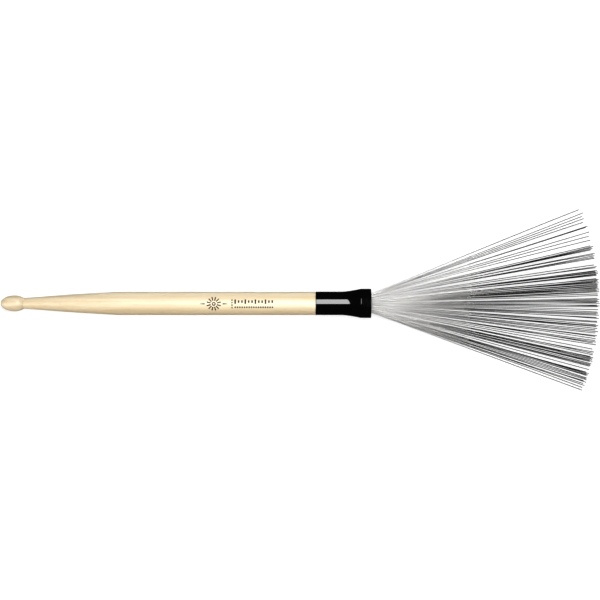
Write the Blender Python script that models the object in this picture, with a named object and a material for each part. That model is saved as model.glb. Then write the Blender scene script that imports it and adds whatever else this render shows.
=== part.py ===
"""Wire drum brush: a drumstick whose butt carries a fan of steel wires in a flared black sleeve.

+X runs along the stick from its bead to the wire tips, the fan spreads in the XY plane and +Z is up.
The brush lies on its side: the widest ring of the sleeve touches Z = 0.
Each wire is bent double round a cross pin inside the sleeve, so that it shows as two strands.
Distances called "from the bead" are measured along the stick from its very tip. All are in metres.
"""
import math
import random

import bmesh
import bpy
from mathutils import Matrix, Vector

LENGTH = 0.375

# The stick, a turned hickory drumstick of the common 14.5 mm size
STICK_R = 0.00725
BEAD_R = 0.00498
BEAD_MIDDLE = 0.0091
BEAD_BACK = 0.0071
BEAD_BLUNTNESS = 2.25
BEAD_CREASE = 0.0145
NECK_R = 0.00345
TAPER_START = 0.0185
TAPER_START_R = 0.00362
TAPER_END = 0.0727
TAPER_SWELL = 0.0002
SHOULDER_HALF = 0.0048
TENON_R = 0.0060
TENON_END = 0.2150
BORE_R = 0.0025
BORE_DEPTH = 0.0150
EDGE = 0.00025

# The sleeve, one turned tube that flares to its mouth
SLEEVE_START = 0.1974
MOUTH = 0.2321
SLEEVE_R = 0.0073
MOUTH_R = 0.0091
SLEEVE_BORE_R = 0.00605
MOUTH_BORE_R = 0.0080
FLARE_START = 0.2135
FLARE_END = 0.2258
FLARE_POWER = 1.5
BORE_FLARE_START = 0.2170

# The wire anchor: a flanged shank glued into the stick, two ears and a cross pin
GLUE_GAP = 0.00005
FLANGE_R = 0.0057
FLANGE_THICKNESS = 0.0014
PIN_FROM_MOUTH = 0.0063
PIN_R = 0.0008
PIN_CLEARANCE = 0.00005
EAR_INNER_Y = 0.0046
EAR_THICKNESS = 0.0008
EAR_R = 0.0019

# The wires
WIRE_R = 0.0002
FIRST_LOOP_R = 0.00108
LOOP_STEP = 0.00045
LOOP_SEGMENTS = 6
COLUMN_PITCH = 0.00045
TUFT_GAP = 0.00025
COLUMN_LOOPS = 5
FAN_APEX = 0.2187
FAN_APEX_Y = 0.0009
FAN_REACH = 0.1558
REACH_SPREAD = 0.0003
LAYER_TOP = 0.0070
LAYER_BOTTOM = 0.0007
# Each tuft's strands, from -Y to +Y: runs of (first angle, last angle, strands) off the stick's axis
TUFTS = {
    "tuft_1": ((-20.8, -20.2, 2), (-19.6, -19.25, 2), (-18.8, -18.6, 2), (-18.2, -17.8, 3),
               (-17.25, -16.5, 5), (-15.8, -15.8, 1), (-15.0, -14.4, 4), (-13.95, -12.75, 7)),
    "tuft_2": ((-12.3, -11.6, 3), (-11.0, -11.0, 1), (-9.9, -8.95, 4), (-8.5, -8.5, 1),
               (-8.0, -7.8, 2), (-7.2, -6.5, 3), (-6.15, -6.15, 1), (-5.7, -5.3, 3)),
    "tuft_3": ((-4.7, -4.5, 2), (-3.8, -3.6, 2), (-3.05, -2.35, 4), (-1.8, -1.8, 1),
               (-1.1, -0.75, 3), (-0.3, 0.3, 4), (0.6, 0.8, 2)),
    "tuft_4": ((1.5, 1.85, 2), (2.35, 5.4, 16)),
    "tuft_5": ((6.15, 7.25, 7), (7.9, 8.15, 2), (8.6, 8.6, 1)),
    "tuft_6": ((10.1, 10.35, 2), (10.7, 11.25, 3), (12.15, 13.1, 5)),
    "tuft_7": ((14.4, 16.3, 3), (17.5, 17.7, 2), (18.8, 18.8, 1), (19.6, 20.2, 2), (20.9, 21.9, 2)),
}

# Where the stick's axis lies: the fan leans to +Y, and the whole brush is centred on the origin
AXIS_Y = -0.0025
AXIS_Z = MOUTH_R
BEAD_TIP = Vector((-LENGTH / 2, AXIS_Y, AXIS_Z))
PIN = MOUTH - PIN_FROM_MOUTH

STICK_SIDES = 36
SLEEVE_SIDES = 40
FITTING_SIDES = 24

COLOURS = {
    "hickory": ((0.86, 0.74, 0.54), 0.40, 0.0),
    "sleeve_black": ((0.012, 0.012, 0.013), 0.22, 0.0),
    "anchor_steel": ((0.46, 0.46, 0.48), 0.35, 1.0),
    "wire_steel": ((0.52, 0.52, 0.54), 0.28, 1.0),
}


def clear_scene():
    for old in list(bpy.data.objects):
        bpy.data.objects.remove(old, do_unlink=True)


def make_material(name):
    colour, roughness, metallic = COLOURS[name]
    material = bpy.data.materials.new(name)
    material.use_nodes = True
    shader = material.node_tree.nodes["Principled BSDF"]
    shader.inputs["Base Color"].default_value = (*colour, 1.0)
    shader.inputs["Roughness"].default_value = roughness
    shader.inputs["Metallic"].default_value = metallic
    material.diffuse_color = (*colour, 1.0)
    return material


def add_object(name, data, material=None, parent=None):
    piece = bpy.data.objects.new(name, data)
    bpy.context.scene.collection.objects.link(piece)
    if material:
        data.materials.append(material)
    piece.parent = parent
    return piece


def finish_mesh(bm, name):
    bmesh.ops.remove_doubles(bm, verts=bm.verts, dist=1e-7)
    bmesh.ops.recalc_face_normals(bm, faces=bm.faces)
    mesh = bpy.data.meshes.new(name)
    bm.to_mesh(mesh)
    bm.free()
    mesh.shade_smooth()
    mesh.set_sharp_from_angle(angle=math.radians(35))
    return mesh


def turned(name, outline, sides, closed=False):
    """A mesh turned about the local X axis from (x, radius) points."""
    bm = bmesh.new()
    verts = [bm.verts.new((x, 0, r)) for x, r in outline]
    edges = [bm.edges.new(pair) for pair in zip(verts, verts[1:])]
    if closed:
        edges.append(bm.edges.new((verts[-1], verts[0])))
    bmesh.ops.spin(bm, geom=verts + edges, cent=(0, 0, 0), axis=(1, 0, 0), angle=math.tau,
                   steps=sides, use_merge=True)
    return finish_mesh(bm, name)


def smooth_step(t):
    return t * t * (3 - 2 * t)


def curve_points(x_start, x_end, r_start, r_end, steps, shape=smooth_step):
    """A curve between two radii, without its first point; shape goes from 0 to 1."""
    for i in range(1, steps + 1):
        t = i / steps
        yield x_start + t * (x_end - x_start), r_start + shape(t) * (r_end - r_start)


def flare_shape(t):
    return t ** FLARE_POWER


def bead_outline():
    """The oval bead: a blunt half oval, and a half ellipse cut off at the crease."""
    crease = math.acos((BEAD_CREASE - BEAD_MIDDLE) / BEAD_BACK)
    points = []
    for i in range(8):
        short = math.cos(math.pi / 2 * i / 8)
        points.append((BEAD_MIDDLE * (1 - short), BEAD_R * math.sqrt(1 - short ** BEAD_BLUNTNESS)))
    for i in range(5):
        a = math.pi / 2 + (crease - math.pi / 2) * i / 4
        points.append((BEAD_MIDDLE + BEAD_BACK * math.cos(a), BEAD_R * math.sin(a)))
    return points


def taper_radius(x):
    """A cone with a slight swell, rounded into the straight shaft by a parabola."""
    slope = (STICK_R - TAPER_START_R) / (TAPER_END - TAPER_START)
    short = TAPER_END + SHOULDER_HALF - x
    if short > 2 * SHOULDER_HALF:
        radius = TAPER_START_R + slope * (x - TAPER_START)
    else:
        radius = STICK_R - slope * short * short / (4 * SHOULDER_HALF)
    t = min((x - TAPER_START) / (TAPER_END - TAPER_START), 1)
    return radius + 16 * TAPER_SWELL * (t * (1 - t)) ** 2


def taper_outline():
    places = [TAPER_START + (TAPER_END - SHOULDER_HALF - TAPER_START) * i / 7 for i in range(7)]
    places += [TAPER_END - SHOULDER_HALF + 2 * SHOULDER_HALF * i / 5 for i in range(6)]
    return [(x, taper_radius(x)) for x in places]


def build_stick(material):
    bore_end = TENON_END - BORE_DEPTH
    outline = bead_outline()
    outline += [(BEAD_CREASE + EDGE, NECK_R)]
    outline += taper_outline()
    outline += [
        (SLEEVE_START - EDGE, STICK_R),
        (SLEEVE_START, STICK_R - EDGE),
        (SLEEVE_START, TENON_R),
        (TENON_END - EDGE, TENON_R),
        (TENON_END, TENON_R - EDGE),
        (TENON_END, BORE_R),
        (bore_end, BORE_R),
        (bore_end - BORE_R / 2, 0),
    ]
    stick = add_object("stick", turned("stick", outline, STICK_SIDES), material)
    stick.location = BEAD_TIP


def build_sleeve(material):
    start = SLEEVE_START + GLUE_GAP
    outline = [(start, SLEEVE_BORE_R), (start, SLEEVE_R - EDGE), (start + EDGE, SLEEVE_R)]
    outline += [(FLARE_START, SLEEVE_R)]
    outline += curve_points(FLARE_START, FLARE_END, SLEEVE_R, MOUTH_R, 8, flare_shape)
    outline += [(MOUTH - EDGE, MOUTH_R), (MOUTH, MOUTH_R - EDGE), (MOUTH, MOUTH_BORE_R + EDGE)]
    outline += [(MOUTH - EDGE, MOUTH_BORE_R)]
    outline += curve_points(FLARE_END, BORE_FLARE_START, MOUTH_BORE_R, SLEEVE_BORE_R, 4)
    sleeve = add_object("sleeve", turned("sleeve", outline, SLEEVE_SIDES, closed=True), material)
    sleeve.location = BEAD_TIP


def ear_blanks():
    """Two flat ears, each with a round end about the pin, that reach back into the flange."""
    bm = bmesh.new()
    root = TENON_END + FLANGE_THICKNESS / 2
    outline = [(root, EAR_R), (root, -EAR_R)]
    for i in range(9):
        a = -math.pi / 2 + math.pi * i / 8
        outline.append((PIN + EAR_R * math.cos(a), EAR_R * math.sin(a)))
    for side in (-1, 1):
        inner = [bm.verts.new((x, side * EAR_INNER_Y, z)) for x, z in outline]
        face = bm.faces.new(inner)
        grown = bmesh.ops.extrude_face_region(bm, geom=[face])["geom"]
        outer = [v for v in grown if isinstance(v, bmesh.types.BMVert)]
        bmesh.ops.translate(bm, vec=(0, side * EAR_THICKNESS, 0), verts=outer)
    return finish_mesh(bm, "ear_blanks")


def pin_mesh(name, radius, half_length):
    outline = [(-half_length, 0), (-half_length, radius), (half_length, radius), (half_length, 0)]
    mesh = turned(name, outline, FITTING_SIDES)
    mesh.transform(Matrix.Rotation(math.pi / 2, 4, "Z"))
    return mesh


def add_boolean(piece, tool, operation):
    tool.hide_render = True
    tool.display_type = "WIRE"
    cut = piece.modifiers.new(tool.name, "BOOLEAN")
    cut.operation = operation
    cut.object = tool
    cut.solver = "EXACT"


def build_anchor(material):
    """The yoke and its cross pin."""
    shank_r = BORE_R - GLUE_GAP
    start = TENON_END + GLUE_GAP
    shank_end = TENON_END - BORE_DEPTH + 2 * EDGE
    outline = [
        (shank_end, 0),
        (shank_end, shank_r - EDGE),
        (shank_end + EDGE, shank_r),
        (start, shank_r),
        (start, FLANGE_R),
        (start + FLANGE_THICKNESS, FLANGE_R),
        (start + FLANGE_THICKNESS, 0),
    ]
    yoke = add_object("anchor_yoke", turned("anchor_yoke", outline, FITTING_SIDES), material)
    yoke.location = BEAD_TIP
    ears = add_object("ear_blanks", ear_blanks())
    ears.location = BEAD_TIP
    hole = add_object("pin_hole", pin_mesh("pin_hole", PIN_R + PIN_CLEARANCE, 2 * EAR_INNER_Y))
    hole.location = BEAD_TIP + Vector((PIN, 0, 0))
    add_boolean(yoke, ears, "UNION")
    add_boolean(yoke, hole, "DIFFERENCE")
    half_length = EAR_INNER_Y + EAR_THICKNESS
    pin = add_object("anchor_pin", pin_mesh("anchor_pin", PIN_R, half_length), material)
    pin.location = BEAD_TIP + Vector((PIN, 0, 0))


def strand_angles(runs):
    angles = []
    for first, last, count in runs:
        step = (last - first) / max(count - 1, 1)
        angles += [math.radians(first + step * i) for i in range(count)]
    return angles


def tuft_columns(wires):
    """How many wires hang on each column of nested loops of a tuft."""
    columns = math.ceil(wires / COLUMN_LOOPS)
    return [wires * (i + 1) // columns - wires * i // columns for i in range(columns)]


def strand_tip(angle, height, reach):
    """A strand's tip, measured from the middle of the cross pin."""
    x = FAN_APEX - PIN + reach * math.cos(angle)
    return Vector((x, FAN_APEX_Y + reach * math.sin(angle), height))


def wire_path(column_y, level, upper_angle, lower_angle, rng):
    """Points from one strand's tip, back round the pin, and out to the other strand's tip."""
    radius = FIRST_LOOP_R + LOOP_STEP * level
    height = LAYER_BOTTOM + (LAYER_TOP - LAYER_BOTTOM) * level / (COLUMN_LOOPS - 1)
    height = max(height, radius)
    loop = []
    for i in range(LOOP_SEGMENTS + 1):
        a = math.pi / 2 + math.pi * i / LOOP_SEGMENTS
        loop.append(Vector((radius * math.cos(a), column_y, radius * math.sin(a))))
    first = strand_tip(upper_angle, height, FAN_REACH + rng.uniform(-REACH_SPREAD, REACH_SPREAD))
    last = strand_tip(lower_angle, -height, FAN_REACH + rng.uniform(-REACH_SPREAD, REACH_SPREAD))
    return [first, *loop, last]


def build_wire(name, points, material, parent):
    curve = bpy.data.curves.new(name, "CURVE")
    curve.dimensions = "3D"
    curve.bevel_depth = WIRE_R
    curve.bevel_resolution = 1
    curve.use_fill_caps = True
    spline = curve.splines.new("POLY")
    spline.points.add(len(points) - 1)
    for point, place in zip(spline.points, points):
        point.co = (*place, 1)
    add_object(name, curve, material, parent)


def build_fan(material):
    """All tufts side by side on the pin, from -Y to +Y, each wire in its own loop."""
    rng = random.Random(4)
    counts = {tuft: sum(run[2] for run in runs) // 2 for tuft, runs in TUFTS.items()}
    columns = sum(len(tuft_columns(n)) for n in counts.values())
    y = -(columns * COLUMN_PITCH + (len(TUFTS) - 1) * TUFT_GAP) / 2 + COLUMN_PITCH / 2
    for tuft, runs in TUFTS.items():
        hinge = add_object(tuft, None)
        hinge.location = BEAD_TIP + Vector((PIN, 0, 0))
        angles = strand_angles(runs)
        wire = 0
        for in_column in tuft_columns(counts[tuft]):
            for i in range(in_column):
                level = (2 * i) % COLUMN_LOOPS
                upper, lower = angles[2 * wire], angles[2 * wire + 1]
                wire += 1
                path = wire_path(y, level, upper, lower, rng)
                build_wire(f"{tuft}_wire_{wire:02d}", path, material, hinge)
            y += COLUMN_PITCH
        y += TUFT_GAP


def main():
    clear_scene()
    materials = {name: make_material(name) for name in COLOURS}
    build_stick(materials["hickory"])
    build_sleeve(materials["sleeve_black"])
    build_anchor(materials["anchor_steel"])
    build_fan(materials["wire_steel"])


main()
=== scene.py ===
"""Looks of the wire drum brush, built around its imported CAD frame."""
import math
import random

import bpy
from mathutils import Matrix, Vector


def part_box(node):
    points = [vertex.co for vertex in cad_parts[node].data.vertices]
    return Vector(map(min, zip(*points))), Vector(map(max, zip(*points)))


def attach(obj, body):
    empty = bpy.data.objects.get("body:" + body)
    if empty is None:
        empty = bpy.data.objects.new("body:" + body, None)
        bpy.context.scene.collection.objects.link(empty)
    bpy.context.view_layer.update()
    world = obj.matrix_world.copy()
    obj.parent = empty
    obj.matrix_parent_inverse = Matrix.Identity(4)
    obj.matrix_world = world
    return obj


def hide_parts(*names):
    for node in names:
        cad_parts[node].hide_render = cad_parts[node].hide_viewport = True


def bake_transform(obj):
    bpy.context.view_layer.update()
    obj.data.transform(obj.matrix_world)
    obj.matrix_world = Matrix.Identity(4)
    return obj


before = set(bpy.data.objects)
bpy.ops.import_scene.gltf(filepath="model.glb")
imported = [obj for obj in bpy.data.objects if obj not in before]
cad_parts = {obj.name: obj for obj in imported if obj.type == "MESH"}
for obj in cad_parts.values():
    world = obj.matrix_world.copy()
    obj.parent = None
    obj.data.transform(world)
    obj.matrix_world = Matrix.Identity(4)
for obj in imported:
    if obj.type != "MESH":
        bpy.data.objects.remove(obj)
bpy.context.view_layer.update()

# Places worked out from the frame, in metres
STICK_LOW, STICK_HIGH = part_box("stick")
PIN_LOW, PIN_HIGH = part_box("anchor_pin")
TIP_X = STICK_LOW.x
MOUTH_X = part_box("sleeve")[1].x
AXIS = (STICK_LOW + STICK_HIGH) / 2
AXIS_Y, AXIS_Z = AXIS.y, AXIS.z
PIN = (PIN_LOW + PIN_HIGH) / 2

# The stick and the sleeve, as distances from the bead's tip
STICK_R = 0.00725
BEAD_R = 0.00498
BEAD_MIDDLE = 0.0091
BEAD_BACK = 0.0071
BEAD_BLUNTNESS = 2.25
BEAD_CREASE = 0.0145
NECK_R = 0.00345
TAPER_START = 0.0185
TAPER_START_R = 0.00362
TAPER_END = 0.0727
TAPER_SWELL = 0.0002
SHOULDER_HALF = 0.0048
TENON_R = 0.0060
TENON_END = 0.2150
BORE_R = 0.0025
BORE_DEPTH = 0.0150
SLEEVE_START = 0.1974
SLEEVE_GAP = 0.00005
MOUTH = MOUTH_X - TIP_X
SLEEVE_R = 0.0073
MOUTH_R = 0.0091
SLEEVE_BORE_R = 0.00605
MOUTH_BORE_R = 0.0080
FLARE_START = 0.2135
FLARE_END = 0.2258
FLARE_POWER = 1.5
BORE_FLARE_START = 0.2170
EDGE = 0.00025

# The ornament printed on the shaft
PRINT_START = 0.1252
PRINT_ARC = -0.0003
INK_DEPTH = 0.00002
INK_HEIGHT = 0.000015
SUN_REACH = 0.0086
SUN_RAYS = 12
SUN_RAY_WIDTH = 0.0007
SUN_INNER = 0.0020
SUN_OUTER = 0.0045
SUN_RING_R = 0.0009
SUN_RING_WIDTH = 0.0006
RULE_START = 0.0056
RULE_LENGTH = 0.0030
RULE_WIDTH = 0.0008
RINGS_START = 0.0200
RINGS = 4
RING_PITCH = 0.0016
SMALL_RING_R = 0.0004
SMALL_RING_WIDTH = 0.0003
ROWS_START = 0.0220
TALL_BARS = 12
TALL_PITCH = 0.0021
SHORT_BARS = 17
SHORT_PITCH = 0.00145

# The wires
WIRE_R = 0.0002
WIRE_SIDES = 8
LOOP_STEPS = 12
STRAND_STEPS = 22
BOW_Y = 0.00045
BOW_Z = 0.0004
# distances past the mouth over which the wires' painted highlight and extra roughness fade from full to
# none
WIRE_DULL_PAINTED_HIGHLIGHT_START = 0.012
WIRE_DULL_PAINTED_HIGHLIGHT_END = 0.085
FIRST_LOOP_R = 0.00108
LOOP_STEP = 0.00045
COLUMN_PITCH = 0.00045
TUFT_GAP = 0.00025
COLUMN_LOOPS = 5
FAN_APEX = 0.2187
FAN_APEX_Y = 0.0009
FAN_REACH = 0.1558
REACH_SPREAD = 0.0003
LAYER_TOP = 0.0070
LAYER_BOTTOM = 0.0007
TUFTS = {
    "tuft_1": ((-20.8, -20.2, 2), (-19.6, -19.25, 2), (-18.8, -18.6, 2), (-18.2, -17.8, 3),
               (-17.25, -16.5, 5), (-15.8, -15.8, 1), (-15.0, -14.4, 4), (-13.95, -12.75, 7)),
    "tuft_2": ((-12.3, -11.6, 3), (-11.0, -11.0, 1), (-9.9, -8.95, 4), (-8.5, -8.5, 1),
               (-8.0, -7.8, 2), (-7.2, -6.5, 3), (-6.15, -6.15, 1), (-5.7, -5.3, 3)),
    "tuft_3": ((-4.7, -4.5, 2), (-3.8, -3.6, 2), (-3.05, -2.35, 4), (-1.8, -1.8, 1),
               (-1.1, -0.75, 3), (-0.3, 0.3, 4), (0.6, 0.8, 2)),
    "tuft_4": ((1.5, 1.85, 2), (2.35, 5.4, 16)),
    "tuft_5": ((6.15, 7.25, 7), (7.9, 8.15, 2), (8.6, 8.6, 1)),
    "tuft_6": ((10.1, 10.35, 2), (10.7, 11.25, 3), (12.15, 13.1, 5)),
    "tuft_7": ((14.4, 16.3, 3), (17.5, 17.7, 2), (18.8, 18.8, 1), (19.6, 20.2, 2), (20.9, 21.9, 2)),
}


# Edges that turn by more than this are shaded sharp
SHARP_ANGLE = math.radians(40)

# The stage
VIEW_GAMMA = 0.72
CAMERA_DISTANCE = 1.3
CAMERA_FIELD = 0.3762
SENSOR_WIDTH = 36.0
PANEL_HEIGHT = 0.62
FLOOR_HALF = 6.0


# ---------------------------------------------------------------- materials

class Nodes:
    """A material's node tree, with short calls to add and link nodes."""

    def __init__(self, name):
        self.material = bpy.data.materials.new(name)
        self.material.use_nodes = True
        self.tree = self.material.node_tree
        self.shader = self.tree.nodes["Principled BSDF"]

    def add(self, kind, **values):
        node = self.tree.nodes.new(kind)
        for key, value in values.items():
            if key in node.inputs:
                node.inputs[key].default_value = value
            else:
                setattr(node, key, value)
        return node

    def link(self, output, socket):
        self.tree.links.new(output, socket)

    def set(self, **values):
        for key, value in values.items():
            self.shader.inputs[key.replace("_", " ")].default_value = value

    def place(self, scale):
        """Object coordinates, stretched by the three scales."""
        where = self.add("ShaderNodeTexCoord")
        mapping = self.add("ShaderNodeMapping")
        mapping.inputs["Scale"].default_value = scale
        self.link(where.outputs["Object"], mapping.inputs["Vector"])
        return mapping.outputs["Vector"]

    def place_along(self, axis):
        """One object coordinate: "X", "Y" or "Z"."""
        where = self.add("ShaderNodeTexCoord")
        split = self.add("ShaderNodeSeparateXYZ")
        self.link(where.outputs["Object"], split.inputs["Vector"])
        return split.outputs[axis]

    def noise(self, scale, detail=4.0, roughness=0.5, distortion=0.0):
        """Noise that repeats about so many times a metre along each axis."""
        node = self.add("ShaderNodeTexNoise")
        node.inputs["Scale"].default_value = 1.0
        node.inputs["Detail"].default_value = detail
        node.inputs["Roughness"].default_value = roughness
        node.inputs["Distortion"].default_value = distortion
        self.link(self.place(scale), node.inputs["Vector"])
        return node.outputs["Fac"]

    def ramp(self, fac, *stops):
        """A colour ramp from (place, colour) stops."""
        node = self.add("ShaderNodeValToRGB")
        elements = node.color_ramp.elements
        while len(elements) < len(stops):
            elements.new(0.5)
        for element, (place, colour) in zip(elements, stops):
            element.position = place
            element.color = (*colour, 1.0)
        self.link(fac, node.inputs["Fac"])
        return node.outputs["Color"]

    def mix(self, factor, low, high, blend="MIX"):
        node = self.add("ShaderNodeMix", data_type="RGBA", blend_type=blend)
        for value, socket in ((factor, node.inputs[0]), (low, node.inputs[6]), (high, node.inputs[7])):
            if isinstance(value, bpy.types.NodeSocket):
                self.link(value, socket)
            else:
                socket.default_value = value if isinstance(value, float) else (*value, 1.0)
        return node.outputs[2]

    def math(self, operation, first, second):
        node = self.add("ShaderNodeMath", operation=operation)
        for value, socket in ((first, node.inputs[0]), (second, node.inputs[1])):
            if isinstance(value, bpy.types.NodeSocket):
                self.link(value, socket)
            else:
                socket.default_value = value
        return node.outputs[0]

    def between(self, fac, low, high):
        """fac, held to 0 to 1, spread between two values."""
        node = self.add("ShaderNodeMapRange")
        node.inputs["To Min"].default_value = low
        node.inputs["To Max"].default_value = high
        self.link(fac, node.inputs["Value"])
        return node.outputs["Result"]

    def bump(self, height, strength, distance):
        node = self.add("ShaderNodeBump")
        node.inputs["Strength"].default_value = strength
        node.inputs["Distance"].default_value = distance
        self.link(height, node.inputs["Height"])
        self.link(node.outputs["Normal"], self.shader.inputs["Normal"])


def hickory():
    """Pale straight-grained hickory under thin satin lacquer: rings, fibres and short pores, with painted
    shade along one flank.
    """
    m = Nodes("hickory")
    # growth rings: nearly flat sheets through the blank, bent a little along the stick
    rings = m.noise((3.0, 420.0, 90.0), detail=3.0, roughness=0.45, distortion=0.25)
    tone = m.ramp(rings, (0.30, (0.73, 0.61, 0.43)), (0.52, (0.81, 0.72, 0.55)), (0.72, (0.85, 0.77, 0.61)))
    # painted shade: the stick turns darker and browner towards its -Y flank, along a wavy edge
    sway = m.noise((5.0, 40.0, 40.0), detail=2.0)
    flank = m.math("MULTIPLY", m.math("SUBTRACT", AXIS_Y, m.place_along("Y")), 0.5 / STICK_R)
    painted_shade = m.math("ADD", m.math("ADD", flank, 0.5), m.math("MULTIPLY", m.math("SUBTRACT", sway, 0.5), 0.5))
    painted_shade_tone = m.ramp(painted_shade, (0.50, (1.0, 1.0, 1.0)), (1.0, (0.82, 0.76, 0.66)))
    # the painted shade darkens the wood's colour here
    colour = m.mix(1.0, tone, painted_shade_tone, "MULTIPLY")
    fibres = m.noise((40.0, 2600.0, 2600.0), detail=5.0, roughness=0.6)
    fibre_tone = m.ramp(fibres, (0.36, (0.91, 0.875, 0.81)), (0.56, (1.0, 1.0, 1.0)))
    colour = m.mix(0.75, colour, fibre_tone, "MULTIPLY")
    pores = m.noise((170.0, 5200.0, 5200.0), detail=1.0)
    pore_tone = m.ramp(pores, (0.24, (0.55, 0.42, 0.28)), (0.31, (1.0, 1.0, 1.0)))
    colour = m.mix(0.45, colour, pore_tone, "MULTIPLY")
    m.link(colour, m.shader.inputs["Base Color"])
    m.link(m.between(fibres, 0.40, 0.55), m.shader.inputs["Roughness"])
    m.set(Coat_Weight=0.45, Coat_Roughness=0.35)
    m.bump(m.math("MULTIPLY", fibres, pore_tone), 0.3, 0.00005)
    return m.material


def gloss_black():
    """Smooth black plastic with faint rubbed patches."""
    m = Nodes("gloss_black")
    patches = m.noise((90.0, 160.0, 160.0), detail=3.0)
    tone = m.ramp(patches, (0.3, (0.0025, 0.0025, 0.003)), (0.7, (0.0042, 0.0040, 0.0038)))
    m.link(tone, m.shader.inputs["Base Color"])
    m.link(m.between(patches, 0.025, 0.05), m.shader.inputs["Roughness"])
    m.set(IOR=1.6)
    m.bump(m.noise((500.0, 900.0, 900.0), detail=2.0), 0.05, 0.00003)
    return m.material


def drawn_steel():
    """Drawn spring wire with the die's fine lines: near the sleeve a painted highlight makes it pale, and
    it is rougher there;
    further out it keeps its darker steel tone and a smoother polish."""
    m = Nodes("drawn_steel")
    along = m.noise((60.0, 900.0, 900.0), detail=3.0)
    steel_tone = m.ramp(along, (0.3, (0.34, 0.33, 0.32)), (0.7, (0.50, 0.49, 0.48)))
    # painted highlight: the base colour turns pale towards the sleeve, where the wires should look lit; the
    # same mask also raises the roughness there
    left = m.math("SUBTRACT", MOUTH_X + WIRE_DULL_PAINTED_HIGHLIGHT_END, m.place_along("X"))
    dull_and_painted_highlight = m.between(m.math("DIVIDE", left, WIRE_DULL_PAINTED_HIGHLIGHT_END - WIRE_DULL_PAINTED_HIGHLIGHT_START), 0.0, 1.0)
    m.link(m.mix(dull_and_painted_highlight, steel_tone, (0.95, 0.94, 0.93)), m.shader.inputs["Base Color"])
    polish = m.between(along, 0.13, 0.23)
    m.link(m.math("ADD", polish, m.math("MULTIPLY", dull_and_painted_highlight, 0.28)), m.shader.inputs["Roughness"])
    m.set(Metallic=1.0)
    m.bump(m.noise((300.0, 9000.0, 9000.0), detail=2.0), 0.15, 0.00002)
    return m.material


def machined_steel():
    """Plain turned steel of the anchor, with tool marks round it."""
    m = Nodes("machined_steel")
    marks = m.noise((6000.0, 300.0, 300.0), detail=3.0)
    stains = m.noise((300.0, 300.0, 300.0), detail=4.0)
    tone = m.ramp(stains, (0.3, (0.32, 0.31, 0.30)), (0.7, (0.48, 0.47, 0.46)))
    m.link(tone, m.shader.inputs["Base Color"])
    m.link(m.between(marks, 0.28, 0.5), m.shader.inputs["Roughness"])
    m.set(Metallic=1.0)
    m.bump(marks, 0.3, 0.00003)
    return m.material


def printing_ink():
    """Dark brown-black ink, thinner where the wood's pores break it."""
    m = Nodes("printing_ink")
    breaks = m.noise((170.0, 5200.0, 5200.0), detail=2.0)
    tone = m.ramp(breaks, (0.25, (0.16, 0.12, 0.08)), (0.36, (0.022, 0.018, 0.015)))
    m.link(tone, m.shader.inputs["Base Color"])
    m.link(m.between(breaks, 0.45, 0.6), m.shader.inputs["Roughness"])
    return m.material


def pale_floor():
    """A matt white table that glows a little, so that it keeps only faint shadows."""
    m = Nodes("pale_floor")
    grain = m.noise((40.0, 40.0, 40.0), detail=3.0)
    tone = m.ramp(grain, (0.3, (0.40, 0.40, 0.40)), (0.7, (0.42, 0.42, 0.42)))
    m.link(tone, m.shader.inputs["Base Color"])
    m.set(Roughness=0.9, Emission_Color=(1.0, 1.0, 1.0, 1.0), Emission_Strength=0.66)
    return m.material


# ---------------------------------------------------------------- meshes

def add_piece(name, verts, faces, material):
    """A mesh object in one material, smooth except where its faces meet at a sharp edge."""
    mesh = bpy.data.meshes.new(name)
    mesh.from_pydata([tuple(v) for v in verts], [], faces)
    mesh.validate()
    mesh.shade_smooth()
    mesh.set_sharp_from_angle(angle=SHARP_ANGLE)
    mesh.materials.append(material)
    piece = bpy.data.objects.new(name, mesh)
    bpy.context.scene.collection.objects.link(piece)
    return piece


def turned(name, outline, sides, material, closed=False):
    """A solid turned about the stick's axis from (distance from the bead's tip, radius) points."""
    verts, rings = [], []
    for x, r in outline:
        if r == 0:
            rings.append([len(verts)])
            verts.append((TIP_X + x, AXIS_Y, AXIS_Z))
            continue
        rings.append(list(range(len(verts), len(verts) + sides)))
        for i in range(sides):
            a = math.tau * i / sides
            verts.append((TIP_X + x, AXIS_Y + r * math.sin(a), AXIS_Z + r * math.cos(a)))
    faces = []
    for near, far in zip(rings, rings[1:] + (rings[:1] if closed else [])):
        for i in range(sides):
            j = (i + 1) % sides
            if len(near) == 1:
                faces.append((near[0], far[j], far[i]))
            elif len(far) == 1:
                faces.append((near[i], near[j], far[0]))
            else:
                faces.append((near[i], near[j], far[j], far[i]))
    return add_piece(name, verts, faces, material)


def smooth_step(t):
    """An S-shaped curve from 0 to 1."""
    return t * t * (3 - 2 * t)


def curve_points(x_start, x_end, r_start, r_end, steps, shape=smooth_step):
    """Points of a curve between two radii, without its first point; shape goes from 0 to 1."""
    return [(x_start + (x_end - x_start) * i / steps,
             r_start + (r_end - r_start) * shape(i / steps)) for i in range(1, steps + 1)]


def flare_shape(t):
    """The flare's curve, from 0 to 1: slow at first, then steeper up to the lip."""
    return t ** FLARE_POWER


def steps_between(start, end, count):
    """Equal steps from start, left out, to end."""
    return [start + (end - start) * i / count for i in range(1, count + 1)]


def rounded(x, r, across, along, steps=5):
    """Points round an outer corner at (x, r), starting level with it and ending below it."""
    return [(x - along + along * math.sin(a), r - across + across * math.cos(a))
            for a in (math.pi / 2 * i / steps for i in range(steps + 1))]


def taper_radius(x):
    """A cone with a slight swell, rounded into the straight shaft by a parabola."""
    slope = (STICK_R - TAPER_START_R) / (TAPER_END - TAPER_START)
    short = TAPER_END + SHOULDER_HALF - x
    if short > 2 * SHOULDER_HALF:
        radius = TAPER_START_R + slope * (x - TAPER_START)
    else:
        radius = STICK_R - slope * short * short / (4 * SHOULDER_HALF)
    t = min((x - TAPER_START) / (TAPER_END - TAPER_START), 1)
    return radius + 16 * TAPER_SWELL * (t * (1 - t)) ** 2


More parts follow.
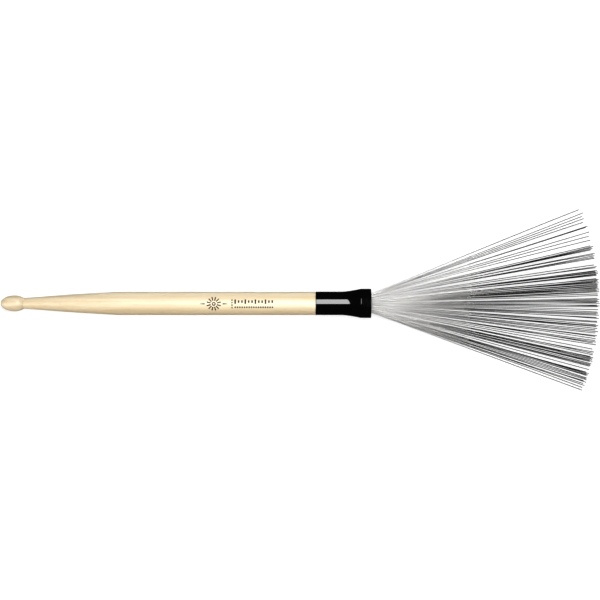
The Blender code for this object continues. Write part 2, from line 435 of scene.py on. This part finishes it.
def stick_outline():
    points = [(0, 0)]
    for i in range(1, 28):
        short = math.cos(math.pi / 2 * i / 28)
        points.append((BEAD_MIDDLE * (1 - short), BEAD_R * math.sqrt(1 - short ** BEAD_BLUNTNESS)))
    crease = math.acos((BEAD_CREASE - BEAD_MIDDLE) / BEAD_BACK)
    for i in range(15):
        a = math.pi / 2 + (crease - math.pi / 2) * i / 14
        points.append((BEAD_MIDDLE + BEAD_BACK * math.cos(a), BEAD_R * math.sin(a)))
    crease_r = points[-1][1]
    points += curve_points(BEAD_CREASE, BEAD_CREASE + 2 * EDGE, crease_r, NECK_R, 4)
    points += curve_points(BEAD_CREASE + 2 * EDGE, TAPER_START, NECK_R, TAPER_START_R, 5)
    shaft_start = TAPER_END + SHOULDER_HALF
    points += [(x, taper_radius(x)) for x in steps_between(TAPER_START, shaft_start, 30)]
    points += [(x, STICK_R) for x in steps_between(shaft_start, SLEEVE_START - 2 * EDGE, 12)]
    points += rounded(SLEEVE_START, STICK_R, EDGE, EDGE, 4)
    bore_end = TENON_END - BORE_DEPTH
    points += [(SLEEVE_START, TENON_R), (TENON_END - EDGE, TENON_R), (TENON_END, TENON_R - EDGE),
               (TENON_END, BORE_R), (bore_end, BORE_R), (bore_end - BORE_R / 2, 0)]
    return points


def build_stick(material):
    stick = turned("turned_stick", stick_outline(), 128, material)
    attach(stick, "root")
    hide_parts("stick")


def patch(verts, faces, place, columns, rows):
    """Adds one thin closed patch of ink that hugs the shaft: place(s, t), both 0 to 1, gives
    a distance along the stick and one round it."""
    first = len(verts)
    size = (columns + 1) * (rows + 1)
    for r in (STICK_R - INK_DEPTH, STICK_R + INK_HEIGHT):
        for i in range(columns + 1):
            for j in range(rows + 1):
                x, arc = place(i / columns, j / rows)
                a = arc / STICK_R
                verts.append((TIP_X + x, AXIS_Y + r * math.sin(a), AXIS_Z + r * math.cos(a)))

    def at(i, j, top):
        return first + top * size + i * (rows + 1) + j

    for i in range(columns):
        for j in range(rows):
            faces.append((at(i, j, 1), at(i, j + 1, 1), at(i + 1, j + 1, 1), at(i + 1, j, 1)))
            faces.append((at(i, j, 0), at(i + 1, j, 0), at(i + 1, j + 1, 0), at(i, j + 1, 0)))
        for j, k in ((0, 1), (rows, 0)):
            faces.append((at(i + k, j, 0), at(i + 1 - k, j, 0), at(i + 1 - k, j, 1), at(i + k, j, 1))[::-1])
    for j in range(rows):
        for i, k in ((0, 1), (columns, 0)):
            faces.append((at(i, j + k, 0), at(i, j + 1 - k, 0), at(i, j + 1 - k, 1), at(i, j + k, 1)))


def bar(x, arc, length, width, slant=0.0):
    """A straight stroke centred on (x, arc), which slant radians turn in the print's plane."""
    def place(s, t):
        u, v = (s - 0.5) * length, (t - 0.5) * width
        along = u * math.cos(slant) - v * math.sin(slant)
        return x + along, arc + u * math.sin(slant) + v * math.cos(slant)
    return place


def ring(x, arc, radius, width):
    """A ring centred on (x, arc), as a band that closes on itself."""
    def place(s, t):
        r, a = radius + (t - 0.5) * width, s * math.tau
        return x + r * math.cos(a), arc + r * math.sin(a)
    return place


def build_sun(verts, faces, middle):
    """Rays round a small ring, between two rules that taper away from it."""
    reach = (SUN_INNER + SUN_OUTER) / 2
    for i in range(SUN_RAYS):
        a = math.tau * (i + 0.5) / SUN_RAYS
        ray = bar(middle + reach * math.cos(a), PRINT_ARC + reach * math.sin(a),
                  SUN_OUTER - SUN_INNER, SUN_RAY_WIDTH, a)
        patch(verts, faces, ray, 4, 2)
    patch(verts, faces, ring(middle, PRINT_ARC, SUN_RING_R, SUN_RING_WIDTH), 24, 2)
    for side in (-1, 1):
        def rule(s, t, side=side):
            across = RULE_WIDTH * (1 - 0.75 * s)
            return middle + side * (RULE_START + RULE_LENGTH * s), PRINT_ARC + side * (t - 0.5) * across
        patch(verts, faces, rule, 4, 2)


def build_rows(verts, faces):
    """A short line of rings across the shaft, then a row of upright bars over a row of short ones."""
    x = PRINT_START + RINGS_START
    for i in range(RINGS):
        arc = PRINT_ARC + 1.5 * RING_PITCH - RING_PITCH * i
        patch(verts, faces, ring(x, arc, SMALL_RING_R, SMALL_RING_WIDTH), 12, 1)
    x = PRINT_START + ROWS_START
    for i in range(TALL_BARS):
        height = 0.0028 if i % 3 == 0 else 0.0016
        patch(verts, faces, bar(x + TALL_PITCH * i, PRINT_ARC + 0.0014, 0.0010, height), 2, 6)
    for i in range(SHORT_BARS):
        patch(verts, faces, bar(x + SHORT_PITCH * i, PRINT_ARC - 0.0022, 0.0008, 0.0010), 2, 2)


def build_print(material):
    """A plain printed ornament: a sunburst between two rules, then a line of rings and two rows of bars."""
    verts, faces = [], []
    build_sun(verts, faces, PRINT_START + SUN_REACH)
    build_rows(verts, faces)
    ornament = add_piece("printed_ornament", verts, faces, material)
    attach(ornament, "root")


def sleeve_outline():
    """Rings just beside each rounded edge keep the shading of the straight walls flat."""
    start = SLEEVE_START + SLEEVE_GAP
    points = [(start, SLEEVE_BORE_R)]
    far_edge = rounded(start + EDGE, SLEEVE_R, EDGE, EDGE, 4)
    points += [(2 * start + EDGE - x, r) for x, r in reversed(far_edge)]
    points += [(x, SLEEVE_R) for x in (start + 1.2 * EDGE, (start + FLARE_START) / 2, FLARE_START)]
    points += curve_points(FLARE_START, FLARE_END, SLEEVE_R, MOUTH_R, 30, flare_shape)
    points += [(FLARE_END + 0.4 * EDGE, MOUTH_R), (MOUTH - 1.2 * EDGE, MOUTH_R)]
    points += rounded(MOUTH, MOUTH_R, EDGE, EDGE, 5)
    points += [(MOUTH, MOUTH_BORE_R + EDGE), (MOUTH - EDGE, MOUTH_BORE_R), (FLARE_END, MOUTH_BORE_R)]
    points += curve_points(FLARE_END, BORE_FLARE_START, MOUTH_BORE_R, SLEEVE_BORE_R, 12)
    return points


def build_sleeve(material):
    sleeve = turned("flared_sleeve", sleeve_outline(), 128, material, closed=True)
    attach(sleeve, "root")
    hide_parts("sleeve")


def tube(name, points, radius, sides, material):
    """A round closed tube along a smooth path, cut square at both ends."""
    verts, faces = [], []
    side = Vector((0, 1, 0))
    for i, point in enumerate(points):
        ahead = (points[min(i + 1, len(points) - 1)] - points[max(i - 1, 0)]).normalized()
        side = (side - ahead * side.dot(ahead)).normalized()
        up = ahead.cross(side)
        for j in range(sides):
            a = math.tau * j / sides
            verts.append(point + radius * (math.cos(a) * side + math.sin(a) * up))
    for i in range(len(points) - 1):
        for j in range(sides):
            k = (j + 1) % sides
            faces.append((i * sides + j, i * sides + k, (i + 1) * sides + k, (i + 1) * sides + j))
    faces.append(tuple(reversed(range(sides))))
    faces.append(tuple(range(len(verts) - sides, len(verts))))
    return add_piece(name, verts, faces, material)


def strand_angles(runs):
    """Every strand's angle in the fan, in radians, from (first, last, count) runs in degrees."""
    angles = []
    for first, last, count in runs:
        step = (last - first) / max(count - 1, 1)
        angles += [math.radians(first + step * i) for i in range(count)]
    return angles


def tuft_columns(wires):
    """How many wires stand in each of a tuft's columns along the pin."""
    columns = math.ceil(wires / COLUMN_LOOPS)
    return [wires * (i + 1) // columns - wires * i // columns for i in range(columns)]


def strand_points(start, angle, height, reach, looks):
    """From where the strand leaves its loop to its tip, with the slight bow of real wire."""
    x = TIP_X + FAN_APEX + reach * math.cos(angle)
    tip = Vector((x, AXIS_Y + FAN_APEX_Y + reach * math.sin(angle), AXIS_Z + height))
    bow_y = looks.uniform(-BOW_Y, BOW_Y)
    bow_z = looks.uniform(-BOW_Z, BOW_Z)
    points = []
    for t in steps_between(0, 1, STRAND_STEPS):
        bow = t * t * (1 - t) * 6.75
        points.append(start.lerp(tip, t) + Vector((0, bow * bow_y, bow * bow_z)))
    return points


def build_wires(material):
    """The fan: every CAD wire again, round, fine and slightly bowed, running from its loop round the pin to
    its tip.
    """
    rng = random.Random(4)
    looks = random.Random(11)
    counts = {tuft: sum(run[2] for run in runs) // 2 for tuft, runs in TUFTS.items()}
    columns = sum(len(tuft_columns(n)) for n in counts.values())
    y = -(columns * COLUMN_PITCH + (len(TUFTS) - 1) * TUFT_GAP) / 2 + COLUMN_PITCH / 2
    for tuft, runs in TUFTS.items():
        angles = strand_angles(runs)
        wire = 0
        for in_column in tuft_columns(counts[tuft]):
            for i in range(in_column):
                level = (2 * i) % COLUMN_LOOPS
                radius = FIRST_LOOP_R + LOOP_STEP * level
                height = LAYER_BOTTOM + (LAYER_TOP - LAYER_BOTTOM) * level / (COLUMN_LOOPS - 1)
                height = max(height, radius)
                loop = []
                for k in range(LOOP_STEPS + 1):
                    a = math.pi / 2 + math.pi * k / LOOP_STEPS
                    loop.append(PIN + Vector((radius * math.cos(a), y, radius * math.sin(a))))
                reaches = [FAN_REACH + rng.uniform(-REACH_SPREAD, REACH_SPREAD) for _ in range(2)]
                upper = strand_points(loop[0], angles[2 * wire], height, reaches[0], looks)
                lower = strand_points(loop[-1], angles[2 * wire + 1], -height, reaches[1], looks)
                wire += 1
                name = f"{tuft}_wire_{wire:02d}"
                piece = tube(f"round_{name}", upper[::-1] + loop + lower, WIRE_R, WIRE_SIDES, material)
                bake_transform(piece)
                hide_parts(name)
            y += COLUMN_PITCH
        y += TUFT_GAP


def finish_anchor(material):
    """The yoke and its pin stay as CAD made them, in machined steel."""
    for name in ("anchor_yoke", "anchor_pin"):
        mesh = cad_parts[name].data
        mesh.materials.clear()
        mesh.materials.append(material)


# ---------------------------------------------------------------- stage

def build_floor(material):
    half = FLOOR_HALF
    verts = [(-half, -half, 0), (half, -half, 0), (half, half, 0), (-half, half, 0)]
    floor = add_piece("floor", verts, [(0, 1, 2, 3)], material)
    floor.visible_glossy = False


def build_world():
    """White behind the scene, and next to no light of its own."""
    world = bpy.data.worlds.new("studio")
    world.use_nodes = True
    tree = world.node_tree
    background = tree.nodes["Background"]
    path = tree.nodes.new("ShaderNodeLightPath")
    mix = tree.nodes.new("ShaderNodeMix")
    mix.data_type = "RGBA"
    mix.inputs[6].default_value = (0.02, 0.02, 0.02, 1)
    mix.inputs[7].default_value = (1.0, 1.0, 1.0, 1)
    tree.links.new(path.outputs["Is Camera Ray"], mix.inputs[0])
    tree.links.new(mix.outputs[2], background.inputs["Color"])
    bpy.context.scene.world = world


def add_panel(name, place, target, size_x, size_y, radiance):
    """A rectangular softbox: its power follows from its size and how bright it looks."""
    data = bpy.data.lights.new(name, "AREA")
    data.shape = "RECTANGLE"
    data.size = size_x
    data.size_y = size_y
    data.energy = radiance * math.pi * size_x * size_y
    light = bpy.data.objects.new(name, data)
    bpy.context.scene.collection.objects.link(light)
    light.location = place
    aim = Vector(target) - Vector(place)
    if aim.xy.length:
        light.rotation_euler = aim.to_track_quat("-Z", "Y").to_euler()
    light.visible_camera = False


def build_lights():
    """Softboxes level above the brush, one over the stick and two beyond the sleeve, and a side fill."""
    height = AXIS_Z + PANEL_HEIGHT
    for name, x, y, size_x, size_y, radiance in (
            ("key", -0.0415, 0.2165, 0.177, 0.57, 10.8),
            ("wire_light_near", 0.093, 0.01, 0.030, 0.60, 31.0),
            ("wire_light_far", 0.126, 0.01, 0.036, 0.36, 12.0)):
        add_panel(name, (x, y, height), (x, y, 0), size_x, size_y, radiance)
    add_panel("fill_left", (-0.95, -0.45, 0.55), (-0.05, 0, 0), 0.8, 0.8, 3.5)


def build_camera():
    """Straight above the brush, which fills the frame's width."""
    data = bpy.data.cameras.new("camera")
    data.sensor_width = SENSOR_WIDTH
    data.lens = SENSOR_WIDTH * CAMERA_DISTANCE / CAMERA_FIELD
    data.clip_start = 0.01
    data.clip_end = 50.0
    camera = bpy.data.objects.new("camera", data)
    camera.location = (0.0001, -0.0004, AXIS_Z + CAMERA_DISTANCE)
    bpy.context.scene.collection.objects.link(camera)
    bpy.context.scene.camera = camera


def main():
    bpy.context.scene.view_settings.view_transform = "Standard"
    bpy.context.scene.view_settings.gamma = VIEW_GAMMA
    build_camera()
    build_world()
    build_lights()
    build_floor(pale_floor())
    build_stick(hickory())
    build_print(printing_ink())
    build_sleeve(gloss_black())
    build_wires(drawn_steel())
    finish_anchor(machined_steel())


main()
